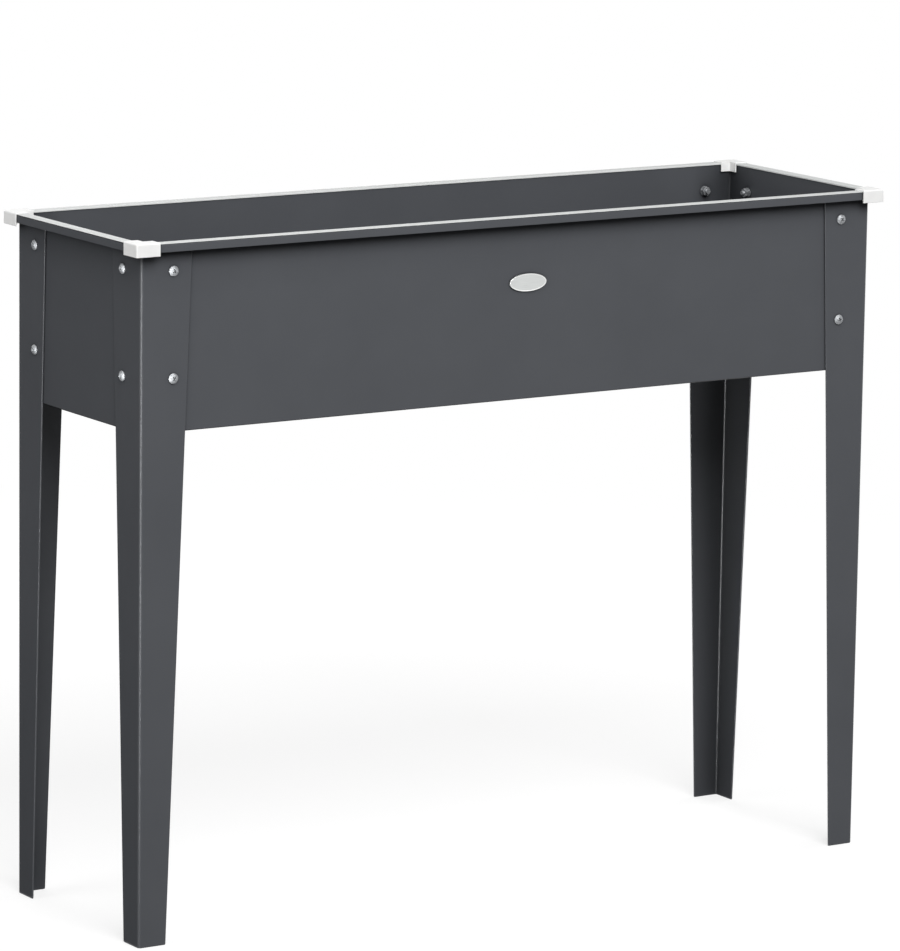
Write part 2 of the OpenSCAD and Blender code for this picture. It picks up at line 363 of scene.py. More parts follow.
@dataclass(frozen=True)
class SatinAluminium:
    """Pressed aluminium badge, brushed along its length and lacquered.

    The brushing lies about 0.1 mm apart and is drawn at 0.5 mm. The raised border is lighter and glossier
    than the field.
    """

    part: str
    colour: str
    colour_low: str
    roughness: float
    tone_span: tuple[float, float] = (0.3, 0.7)
    lines_per_metre: tuple[float, float, float] = (60.0, 400.0, 2000.0)
    line_height: float = 0.01 * MM
    line_strength: float = 0.2

    def make(self) -> bpy.types.Material:
        """Build the material and return it."""
        material, tree, place = start_material(f"satin_aluminium_{self.part}")
        drawn = add_node(tree, "ShaderNodeMapping", {"Vector": place, "Scale": self.lines_per_metre})
        brushing = {"Vector": drawn.outputs["Vector"], "Scale": 1.0}
        brush = add_node(tree, "ShaderNodeTexNoise", brushing).outputs["Fac"]
        stops = zip(self.tone_span, (self.colour_low, self.colour))
        tone = add_node(tree, "ShaderNodeValToRGB", {"Fac": brush}, stops)
        relief = {"Height": brush, "Strength": self.line_strength, "Distance": self.line_height}
        bump = add_node(tree, "ShaderNodeBump", relief)
        look = {
            "Base Color": tone.outputs["Color"],
            "Normal": bump.outputs["Normal"],
            "Metallic": 1.0,
            "Roughness": self.roughness,
        }
        connect(tree, tree.nodes["Principled BSDF"], look)
        return material


def bevel(
    bm: bmesh.types.BMesh,
    geom: list[bmesh.types.BMEdge] | list[bmesh.types.BMVert],
    radius: float,
    segments: int,
    rounding: Rounding = Rounding.EDGES,
) -> None:
    """Round edges of a solid or corners of a flat outline.

    Args:
        bm: the mesh to work on.
        geom: the edges or corners to round.
        radius: how far the round reaches on both sides.
        segments: how many steps make up the round.
        rounding: whether edges or corners are given.
    """
    bmesh.ops.bevel(
        bm,
        geom=geom,
        offset=radius,
        offset_type="OFFSET",
        segments=segments,
        profile=0.5,
        affect=rounding.value,
        material=-1,
        clamp_overlap=True,
    )


def sharp_edges(bm: bmesh.types.BMesh, degrees: float = 50.0) -> list[bmesh.types.BMEdge]:
    """Find the edges of a solid that turn by more than an angle.

    Args:
        bm: the mesh to search.
        degrees: the least angle between the two faces.

    Returns:
        The sharp edges.
    """
    limit = math.radians(degrees)
    return [e for e in bm.edges if len(e.link_faces) == 2 and e.calc_face_angle() > limit]


def extrude_all(bm: bmesh.types.BMesh, faces: list[bmesh.types.BMFace]) -> list[bmesh.types.BMVert]:
    """Extrude flat faces and hand back the vertices of their far end.

    Args:
        bm: the mesh to work on.
        faces: the faces to extrude.

    Returns:
        The new vertices, still in the place of the old ones.
    """
    grown = bmesh.ops.extrude_face_region(bm, geom=faces)["geom"]
    return [g for g in grown if isinstance(g, bmesh.types.BMVert)]


def finish_piece(
    bm: bmesh.types.BMesh, name: str, material: bpy.types.Material, replaces: tuple[str, ...]
) -> bpy.types.Object:
    """Turn a bmesh into a smooth-shaded piece that stands for its CAD nodes.

    Args:
        bm: the finished mesh, freed here.
        name: the piece's name.
        material: its material.
        replaces: the CAD nodes that it stands for.

    Returns:
        The new object, at the origin.
    """
    bmesh.ops.remove_doubles(bm, verts=bm.verts, dist=WELD)
    bmesh.ops.recalc_face_normals(bm, faces=bm.faces)
    mesh = bpy.data.meshes.new(name)
    bm.to_mesh(mesh)
    bm.free()
    mesh.materials.append(material)
    mesh.shade_smooth()
    piece = bpy.data.objects.new(name, mesh)
    bpy.context.scene.collection.objects.link(piece)
    piece.modifiers.new("even_normals", "WEIGHTED_NORMAL").keep_sharp = True
    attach(piece, "root")
    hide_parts(*replaces)
    log.info("%s: %d faces, stands for %s", name, len(mesh.polygons), ", ".join(replaces))
    return piece


@dataclass(frozen=True)
class Body:
    """The lengths that every part of the planter shares."""

    length: float = 991 * MM
    width: float = 286 * MM
    height: float = 800 * MM
    box_depth: float = 215 * MM
    panel_t: float = 0.8 * MM
    leg_t: float = 2.0 * MM
    panel_bend: float = 0.6 * MM
    leg_bend: float = 2.2 * MM
    rim_out: float = 10.8 * MM
    lip_h: float = 9.3 * MM
    strip_t: float = 0.7 * MM
    cap_t: float = 1.5 * MM
    corner_gap: float = 2.6 * MM

    @property
    def strip_top(self) -> float:
        """Height of the top of the rim strips."""
        return self.height - self.cap_t

    @property
    def rim(self) -> float:
        """Height of the top of the steel rim."""
        return self.strip_top - self.strip_t

    @property
    def box_bottom(self) -> float:
        """Height of the bottom edge of the box."""
        return self.height - self.box_depth

    @property
    def wall_in(self) -> float:
        """Inward distance of the inner face of the walls."""
        return self.leg_t + self.panel_t

    def across(self, side: Side) -> float:
        """Distance between a side and the one opposite."""
        return self.width if side in (Side.FRONT, Side.BACK) else self.length

    def along(self, side: Side) -> float:
        """Length of a side over the legs."""
        return self.length if side in (Side.FRONT, Side.BACK) else self.width


def mitred_run(
    body: Body, side: Side, outline: list[tuple[float, float]], rounds: dict[int, float], segments: int
) -> bmesh.types.BMesh:
    """Run a section along one side of the trough, with its ends cut at 45 degrees.

    Args:
        body: the shared lengths.
        side: the side it lies on.
        outline: the section as (inward, height) corners.
        rounds: corner number to its radius.
        segments: how many straight pieces make up each arc.

    Returns:
        The closed mesh in its place on the planter.
    """
    bm = bmesh.new()
    face_y = -body.across(side) / 2
    corners = [bm.verts.new((0, face_y + inward, height)) for inward, height in outline]
    bm.faces.new(corners)
    for number, radius in rounds.items():
        bevel(bm, [corners[number]], radius, segments, Rounding.CORNERS)
    half = body.along(side) / 2 - body.corner_gap
    near = list(bm.verts)
    far = extrude_all(bm, list(bm.faces))
    for verts, end in ((near, -1), (far, 1)):
        mitre = Matrix.Identity(4)
        mitre[0][1] = -end
        mitre[0][3] = end * (half + face_y)
        bmesh.ops.transform(bm, matrix=mitre, verts=verts)
    turn = Matrix.Rotation(math.radians(90 * side.value), 4, "Z")
    bmesh.ops.transform(bm, matrix=turn, verts=bm.verts)
    return bm


@dataclass
class Trough:
    """The four walls with their folded rim, and the floor with its channels."""

    body: Body
    ledge: float = 20 * MM
    edge_break: float = 0.2 * MM
    sheet_floor: tuple[str, ...] = (
        "floor_panel",
        "floor_stiffener_left",
        "floor_stiffener_middle",
        "floor_stiffener_right",
    )

    def section(self) -> tuple[list[tuple[float, float]], dict[int, float]]:
        """Work out the folded sheet's section.

        Returns:
            The (inward, height) corners, and the radius of each one that is round.
        """
        b = self.body
        outer_bend = b.panel_bend + b.panel_t
        lip_low = b.rim - b.lip_h
        ledge_end = b.leg_t + self.ledge
        outline = [
            (-b.rim_out, lip_low),
            (-b.rim_out, b.rim),
            (b.wall_in, b.rim),
            (b.wall_in, b.box_bottom + b.panel_t),
            (ledge_end, b.box_bottom + b.panel_t),
            (ledge_end, b.box_bottom),
            (b.leg_t, b.box_bottom),
            (b.leg_t, b.rim - b.panel_t),
            (-b.rim_out + b.panel_t, b.rim - b.panel_t),
            (-b.rim_out + b.panel_t, lip_low),
        ]
        small = {n: self.edge_break for n in (0, 4, 5, 9)}
        wide = {n: outer_bend for n in (1, 2, 6)}
        tight = {n: b.panel_bend for n in (3, 7, 8)}
        return outline, {**small, **wide, **tight}

    def build(self, coat: bpy.types.Material) -> None:
        """Make the four walls and coat the floor.

        Args:
            coat: the powder coat.
        """
        names = {
            Side.FRONT: "front_panel",
            Side.BACK: "back_panel",
            Side.LEFT: "left_end_panel",
            Side.RIGHT: "right_end_panel",
        }
        outline, rounds = self.section()
        for side, node in names.items():
            bm = mitred_run(self.body, side, outline, rounds, segments=5)
            finish_piece(bm, f"{node}_folded", coat, (node,))
        for node in self.sheet_floor:
            coat_node(node, coat)


def coat_node(node: str, material: bpy.types.Material) -> None:
    """Give a CAD node that stays in view its material.

    Args:
        node: the node's name.
        material: the finish.
    """
    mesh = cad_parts[node].data
    for number in range(len(mesh.materials)):
        mesh.materials[number] = material
    if not mesh.materials:
        mesh.materials.append(material)
    log.info("%s: CAD solid with %s", node, material.name)


@dataclass
class Legs:
    """Four legs, each one folded from a sheet into an angle and tapered to the foot.

    The foot is rounded at the edges beyond the share outermost of its width. A face whose normal turns
    inward by more than facing is a cut edge at the end of a flange, and the inside of the angle elsewhere.
    """

    body: Body
    top_w: float = 65 * MM
    foot_w: float = 35 * MM
    foot_round: float = 1.5 * MM
    edge_break: float = 0.9 * MM
    outermost: float = 0.9
    facing: float = 0.4

    def angle(self) -> bmesh.types.BMesh:
        """Fold one leg with its fold on the Z axis.

        Returns:
            The closed mesh, both flanges along +X and +Y.
        """
        b = self.body
        top = b.rim - b.panel_bend - b.panel_t
        w, t = self.foot_w, b.leg_t
        bm = bmesh.new()
        corners = [bm.verts.new((x, y, 0)) for x, y in ((0, 0), (w, 0), (w, t), (t, t), (t, w), (0, w))]
        bm.faces.new(corners)
        bevel(bm, [corners[0]], b.leg_bend + t, 7, Rounding.CORNERS)
        bevel(bm, [corners[3]], b.leg_bend, 7, Rounding.CORNERS)
        upper = extrude_all(bm, list(bm.faces))
        bmesh.ops.translate(bm, vec=(0, 0, top), verts=upper)
        spread = self.top_w - w
        bmesh.ops.translate(bm, vec=(spread, 0, 0), verts=[v for v in upper if v.co.x > w / 2])
        bmesh.ops.translate(bm, vec=(0, spread, 0), verts=[v for v in upper if v.co.y > w / 2])
        bmesh.ops.recalc_face_normals(bm, faces=bm.faces)
        foot = [
            e
            for e in bm.edges
            if all(v.co.z < t / 2 for v in e.verts)
            and any(all(v.co[axis] > w * self.outermost for v in e.verts) for axis in (0, 1))
        ]
        bevel(bm, foot, self.foot_round, 4)
        bevel(bm, sharp_edges(bm), self.edge_break, 3)
        for face in bm.faces:
            middle = face.calc_center_median()
            inward = [axis for axis in (0, 1) if face.normal[axis] > self.facing]
            if inward:
                face.material_index = 2 if any(middle[axis] > w / 2 for axis in inward) else 1
        return bm

    def build(
        self, coat: bpy.types.Material, inside: bpy.types.Material, cut_edge: bpy.types.Material
    ) -> None:
        """Make the four legs.

        Args:
            coat: the powder coat on the outside.
            inside: the coat on the inside of the angle.
            cut_edge: the lighter coat on the cut edges, which paints in their highlight.
        """
        for corner in Corner:
            bm = self.angle()
            place_corner(bm, self.body, corner)
            node = f"leg_{corner.name.lower()}"
            leg = finish_piece(bm, f"{node}_folded", coat, (node,))
            leg.data.materials.append(inside)
            leg.data.materials.append(cut_edge)


def place_corner(bm: bmesh.types.BMesh, body: Body, corner: Corner) -> None:
    """Move a mesh drawn at the origin of a leg to one corner of the planter.

    Args:
        bm: the mesh, with the leg's fold on the Z axis and both flanges along +X and +Y.
        body: the shared lengths.
        corner: the corner it goes to.
    """
    sign_x, sign_y = corner.value
    flip = Matrix.Diagonal((-sign_x, -sign_y, 1, 1))
    move = Matrix.Translation((sign_x * body.length / 2, sign_y * body.width / 2, 0))
    bmesh.ops.transform(bm, matrix=move @ flip, verts=bm.verts)
    if sign_x * sign_y < 0:
        bmesh.ops.reverse_faces(bm, faces=bm.faces)


@dataclass
class RimStrips:
    """The white strips that lie on the rim and turn down inside the box."""

    body: Body
    fit: float = 0.1 * MM
    turn_down: float = 2.0 * MM
    corner_rounds: tuple[float, ...] = (0.12 * MM, 0.45 * MM, 0.7 * MM, 0.2 * MM, 0.2 * MM)

    def build(self, finishes: dict[Run, bpy.types.Material]) -> None:
        """Make the four strips.

        Args:
            finishes: the plastic for each direction of extrusion.
        """
        b = self.body
        inner = b.wall_in + self.fit + b.strip_t
        outline = [
            (-b.rim_out, b.rim),
            (-b.rim_out, b.strip_top),
            (inner, b.strip_top),
            (inner, b.strip_top - self.turn_down),
            (inner - b.strip_t, b.strip_top - self.turn_down),
            (inner - b.strip_t, b.rim),
        ]
        rounds = dict(enumerate(self.corner_rounds))
        for side in Side:
            bm = mitred_run(b, side, outline, rounds, segments=3)
            node = f"rim_strip_{side.name.lower()}"
            run = Run.ALONG_X if side in (Side.FRONT, Side.BACK) else Run.ALONG_Y
            finish_piece(bm, f"{node}_extruded", finishes[run], (node,))


@dataclass
class CornerCaps:
    """The moulded caps that slip over the rim where two sides meet."""

    body: Body
    arm: float = 30 * MM
    skirt: float = 3.8 * MM
    inner_h: float = 12 * MM
    fit: float = 0.2 * MM
    strip_fit: float = 0.1 * MM
    corner_round: float = 2.4 * MM
    top_round: float = 2.0 * MM
    catch_t: float = 1.2 * MM
    catch_reach: float = 0.9 * MM
    edge_break: float = 0.35 * MM

    def section(self) -> list[tuple[float, float]]:
        """Work out the cap's section over the rim.

        Returns:
            The (inward, height) corners of the hooked channel.
        """
        b = self.body
        strip_in = b.wall_in + self.strip_fit + b.strip_t
        outer = -(b.rim_out + self.fit + b.cap_t)
        lip_side = -(b.rim_out + self.fit)
        inner = strip_in + self.fit + b.cap_t
        lip_low = b.rim - b.lip_h
        bottom = lip_low - self.skirt
        catch_top = lip_low - self.fit
        hook = -(b.rim_out - self.catch_reach)
        return [
            (outer, bottom),
            (outer, b.height),
            (inner, b.height),
            (inner, b.height - self.inner_h),
            (strip_in + self.fit, b.height - self.inner_h),
            (strip_in + self.fit, b.strip_top),
            (lip_side, b.strip_top),
            (lip_side, catch_top),
            (hook, catch_top),
            (hook, catch_top - self.catch_t),
            (lip_side, catch_top - self.catch_t),
            (lip_side, bottom),
        ]

    def shell(self) -> bmesh.types.BMesh:
        """Sweep the section round the corner and soften its edges.

        Returns:
            The closed mesh with the leg's fold on the Z axis.
        """
        b = self.body
        section = self.section()
        outer = section[0][0]
        end = self.arm + outer
        bm = bmesh.new()
        start = bm.faces.new([bm.verts.new((end, inward, height)) for inward, height in section])
        middle = extrude_all(bm, [start])
        for v in middle:
            v.co.x = v.co.y
        bend = [f for f in bm.faces if all(v in middle for v in f.verts)]
        last = extrude_all(bm, bend)
        for v in last:
            v.co.y = end
        across = [f for f in bm.faces if all(v in middle for v in f.verts)]
        bmesh.ops.delete(bm, geom=across, context="FACES_ONLY")
        bmesh.ops.recalc_face_normals(bm, faces=bm.faces)
        bmesh.ops.dissolve_limit(bm, angle_limit=math.radians(1), verts=bm.verts, edges=bm.edges)
        upright = [e for e in bm.edges if all(max(v.co.x, v.co.y) < outer + TINY for v in e.verts)]
        bevel(bm, upright, self.corner_round, 6)
        wall = outer + self.corner_round + TINY
        crown = [
            e
            for e in sharp_edges(bm, 60)
            if all(v.co.z > b.height - TINY and min(v.co.x, v.co.y) < wall for v in e.verts)
            and not any(all(v.co[axis] > end - TINY for v in e.verts) for axis in (0, 1))
        ]
        bevel(bm, crown, self.top_round, 5)
        bevel(bm, sharp_edges(bm), self.edge_break, 3)
        return bm

    def build(self, plastic: bpy.types.Material) -> None:
        """Make the four caps.

        Args:
            plastic: the white moulded plastic.
        """
        for corner in Corner:
            bm = self.shell()
            place_corner(bm, self.body, corner)
            node = f"corner_cap_{corner.name.lower()}"
            finish_piece(bm, f"{node}_moulded", plastic, (node,))


@dataclass
class Bolts:
    """Pan-head bolts with a cross recess, two through each flange, with their washers and nuts."""

    body: Body
    shank_d: float = 6 * MM
    shank_l: float = 12 * MM
    head_d: float = 11.8 * MM
    head_h: float = 3.8 * MM
    side_h: float = 1.1 * MM
    recess_l: float = 7.0 * MM
    recess_w: float = 1.8 * MM
    recess_depth: float = 2.6 * MM
    recess_taper: tuple[float, float] = (0.45, 0.7)
    recess_over: float = 1.0 * MM
    dome_steps: int = 8
    brim_in: float = 0.05 * MM
    brim_down: float = 0.1 * MM
    seat_break: float = 0.15 * MM
    thread_start: float = 3.0 * MM
    thread_end: float = 0.6 * MM
    thread_depth: float = 0.35 * MM
    thread_pitch: float = 1.0 * MM
    tip_break: float = 0.4 * MM
    lathe_steps: int = 32
    from_fold: float = 41 * MM
    top_drop: float = 34.4 * MM
    pitch: float = 120 * MM
    nut_af: float = 10 * MM
    nut_h: float = 5 * MM
    nut_round: float = 0.45 * MM
    washer_t: float = 1.2 * MM
    crease: float = 38.0

    def lathe(self) -> bmesh.types.BMesh:
        """Spin the bolt's half section into a solid.

        Returns:
            The bolt with its axis on Z: the head below z = 0 and the shank above it.
        """
        r, h, s = self.head_d / 2, self.head_h, self.side_h
        shank = self.shank_d / 2
        crown = h - s
        dome_r = (r * r + crown * crown) / (2 * crown)
        profile = [(0.0, -h)]
        for step in range(1, self.dome_steps):
            x = r * step / self.dome_steps
            profile.append((x, -(h - dome_r + math.sqrt(dome_r * dome_r - x * x))))
        profile += [(r - self.brim_in, -s - self.brim_down), (r, -s), (r, -self.seat_break)]
        profile += [(r - self.seat_break, 0.0), (shank, 0.0)]
        z = self.thread_start
        while z < self.shank_l - self.thread_end:
            profile += [(shank, z), (shank - self.thread_depth, z + self.thread_pitch / 2)]
            z += self.thread_pitch
        profile += [(shank - self.tip_break, self.shank_l), (0.0, self.shank_l)]
        bm = bmesh.new()
        verts = [bm.verts.new((x, 0, height)) for x, height in profile]
        edges = [bm.edges.new(pair) for pair in zip(verts, verts[1:])]
        bmesh.ops.spin(
            bm,
            geom=[*verts, *edges],
            cent=(0, 0, 0),
            axis=(0, 0, 1),
            angle=math.tau,
            steps=self.lathe_steps,
            use_merge=True,
            use_normal_flip=False,
            use_duplicate=False,
        )
        bmesh.ops.remove_doubles(bm, verts=bm.verts, dist=WELD / 2)
        bmesh.ops.recalc_face_normals(bm, faces=bm.faces)
        return bm

    def recess_tool(self) -> bmesh.types.BMesh:
        """Make the tapered cross that the recess is punched with.

        Returns:
            The closed cross, its tip towards +Z.
        """
        bm = bmesh.new()
        depth = self.recess_depth + self.recess_over
        for turn in (0, 90):
            bar = bmesh.ops.create_cube(bm, size=1.0)["verts"]
            bmesh.ops.scale(bm, vec=(self.recess_l, self.recess_w, depth), verts=bar)
            tip = [v for v in bar if v.co.z > 0]
            bmesh.ops.scale(bm, vec=(*self.recess_taper, 1.0), verts=tip)
            rise = -self.head_h - self.recess_over + depth / 2
            bmesh.ops.translate(bm, vec=(0, 0, rise), verts=bar)
            quarter = Matrix.Rotation(math.radians(turn), 3, "Z")
            bmesh.ops.rotate(bm, cent=(0, 0, 0), matrix=quarter, verts=bar)
        return bm

    def punched(self) -> bpy.types.Mesh:
        """Punch the cross recess into the bolt.

        Returns:
            The mesh of one finished bolt, its axis on Z.
        """
        parts = []
        for name, bm in (("bolt_blank", self.lathe()), ("recess_tool", self.recess_tool())):
            mesh = bpy.data.meshes.new(name)
            bm.to_mesh(mesh)
            bm.free()
            part = bpy.data.objects.new(name, mesh)
            bpy.context.scene.collection.objects.link(part)
            parts.append(part)
        blank, tool = parts
        cut = blank.modifiers.new("recess", "BOOLEAN")
        cut.operation = "DIFFERENCE"
        cut.solver = "EXACT"
        cut.use_self = True
        cut.object = tool
        bpy.context.view_layer.update()
        done = bpy.data.meshes.new_from_object(blank.evaluated_get(bpy.context.evaluated_depsgraph_get()))
        for part in parts:
            bpy.data.objects.remove(part)
        return done

    def places(self, depth: float) -> list[Matrix]:
        """Work out where the four bolts of a leg go.

        Args:
            depth: how far inward from the leg's outer face the piece is seated.

        Returns:
            One matrix for each bolt, that turns +Z inward through its flange.
        """
        spots = []
        inward_y = Matrix.Rotation(math.radians(-90), 4, "X")
        inward_x = Matrix.Rotation(math.radians(90), 4, "Y")
        for drop in (self.top_drop, self.top_drop + self.pitch):
            z = self.body.height - drop
            spots.append(Matrix.Translation((self.from_fold, depth, z)) @ inward_y)
            spots.append(Matrix.Translation((depth, self.from_fold, z)) @ inward_x)
        return spots

    def gather(self, single: bpy.types.Mesh, depth: float, twists: tuple[float, ...]) -> bmesh.types.BMesh:
        """Copy one fastener to the four places of a leg.

        Args:
            single: the mesh of one fastener.
            depth: how far inward it is seated.
            twists: how far each copy is turned on its axis, in degrees.

        Returns:
            The four copies in one mesh.
        """
        bm = bmesh.new()
        for place, twist in zip(self.places(depth), twists):
            before = len(bm.verts)
            bm.from_mesh(single)
            bm.verts.ensure_lookup_table()
            fresh = bm.verts[before:]
            turned = place @ Matrix.Rotation(math.radians(twist), 4, "Z")
            bmesh.ops.transform(bm, matrix=turned, verts=fresh)
        return bm

    def nut(self) -> bpy.types.Mesh:
        """Make one hexagon nut with softened corners.

        Returns:
            The mesh, its seat at z = 0 and its height along +Z.
        """
        bm = bmesh.new()
        radius = self.nut_af / 2 / math.cos(math.radians(30))
        bmesh.ops.create_cone(bm, cap_ends=True, segments=6, radius1=radius, radius2=radius, depth=self.nut_h)
        bmesh.ops.translate(bm, vec=(0, 0, self.nut_h / 2), verts=bm.verts)
        bevel(bm, sharp_edges(bm), self.nut_round, 3)
        mesh = bpy.data.meshes.new("nut_blank")
        bm.to_mesh(mesh)
        bm.free()
        return mesh

    def build(self, zinc: bpy.types.Material) -> None:
        """Make the bolts and nuts of all four legs, one piece of each for a leg, and plate the washers.

        Args:
            zinc: the zinc plating.
        """
        bolt, nut = self.punched(), self.nut()
        nut_seat = self.body.wall_in + self.washer_t
        turns = {
            Corner.FRONT_LEFT: (62.0, 18.0, 35.0, 75.0),
            Corner.FRONT_RIGHT: (40.0, 10.0, 20.0, 50.0),
            Corner.REAR_LEFT: (15.0, 55.0, 70.0, 30.0),
            Corner.REAR_RIGHT: (80.0, 25.0, 5.0, 65.0),
        }
        for corner in Corner:
            place = corner.name.lower()
            for kind, single, depth in (("bolts", bolt, 0.0), ("nuts", nut, nut_seat)):
                bm = self.gather(single, depth, turns[corner])
                place_corner(bm, self.body, corner)
                node = f"{kind}_{place}"
                piece = finish_piece(bm, f"{node}_plated", zinc, (node,))
                piece.data.set_sharp_from_angle(angle=math.radians(self.crease))
            coat_node(f"washers_{place}", zinc)
        for spare in (bolt, nut):
            bpy.data.meshes.remove(spare)


@dataclass
class Badge:
    """The bare oval badge with its raised border, on the front wall."""

    body: Body
    length: float = 50 * MM
    height: float = 20.6 * MM
    thickness: float = 1.8 * MM
    border: float = 1.4 * MM
    border_round: float = 0.45 * MM
    field_drop: float = 0.5 * MM
    middle_x: float = 13 * MM
    drop: float = 79.5 * MM

    def build(self, border: bpy.types.Material, field_metal: bpy.types.Material) -> None:
        """Press the badge.

        Args:
            border: the metal of the raised border and the sides.
            field_metal: the metal of the sunk field.
        """
        bm = bmesh.new()
        bmesh.ops.create_circle(bm, cap_ends=True, segments=96, radius=self.length / 2)
        bmesh.ops.scale(bm, vec=(1, self.height / self.length, 1), verts=bm.verts)
        raised = extrude_all(bm, list(bm.faces))
        bmesh.ops.translate(bm, vec=(0, 0, self.thickness), verts=raised)
        bmesh.ops.recalc_face_normals(bm, faces=bm.faces)
        top = [f for f in bm.faces if all(v.co.z > self.thickness / 2 for v in f.verts)]
        bmesh.ops.inset_region(bm, faces=top, thickness=self.border, use_even_offset=True)
        sunk = list({v for f in top for v in f.verts})
        bmesh.ops.translate(bm, vec=(0, 0, -self.field_drop), verts=sunk)
        for face in top:
            face.material_index = 1
        brim = [e for e in sharp_edges(bm, 15) if all(v.co.z > self.thickness - TINY for v in e.verts)]
        bevel(bm, brim, self.border_round, 4)
        upright = Matrix.Rotation(math.radians(90), 4, "X")
        b = self.body
        spot = Matrix.Translation((self.middle_x, b.leg_t - b.width / 2, b.height - self.drop))
        bmesh.ops.transform(bm, matrix=spot @ upright, verts=bm.verts)
        badge = finish_piece(bm, "badge_pressed", border, ("badge",))
        badge.data.materials.append(field_metal)


@dataclass(frozen=True)
class Softbox:
    """One soft lamp of the studio.

    A lamp that doesn't fill only draws highlights on rounded edges. A spread below 180 degrees narrows
    its beam.
    """

    name: str
    place: tuple[float, float, float]
    aim: tuple[float, float, float]
    size: tuple[float, float]
    watts: float
    fills: bool = True
    spread: float = 180.0

    def hang(self) -> None:
        """Put the lamp in the scene, pointing at its aim."""
        light = bpy.data.lights.new(self.name, "AREA")
        light.shape = "RECTANGLE"
        light.size, light.size_y = self.size
        light.energy = self.watts
        light.spread = math.radians(self.spread)
        lamp = bpy.data.objects.new(self.name, light)
        lamp.location = self.place
        lamp.rotation_euler = (Vector(self.aim) - Vector(self.place)).to_track_quat("-Z", "Y").to_euler()
        lamp.visible_camera = False
        lamp.visible_diffuse = self.fills
        bpy.context.scene.collection.objects.link(lamp)


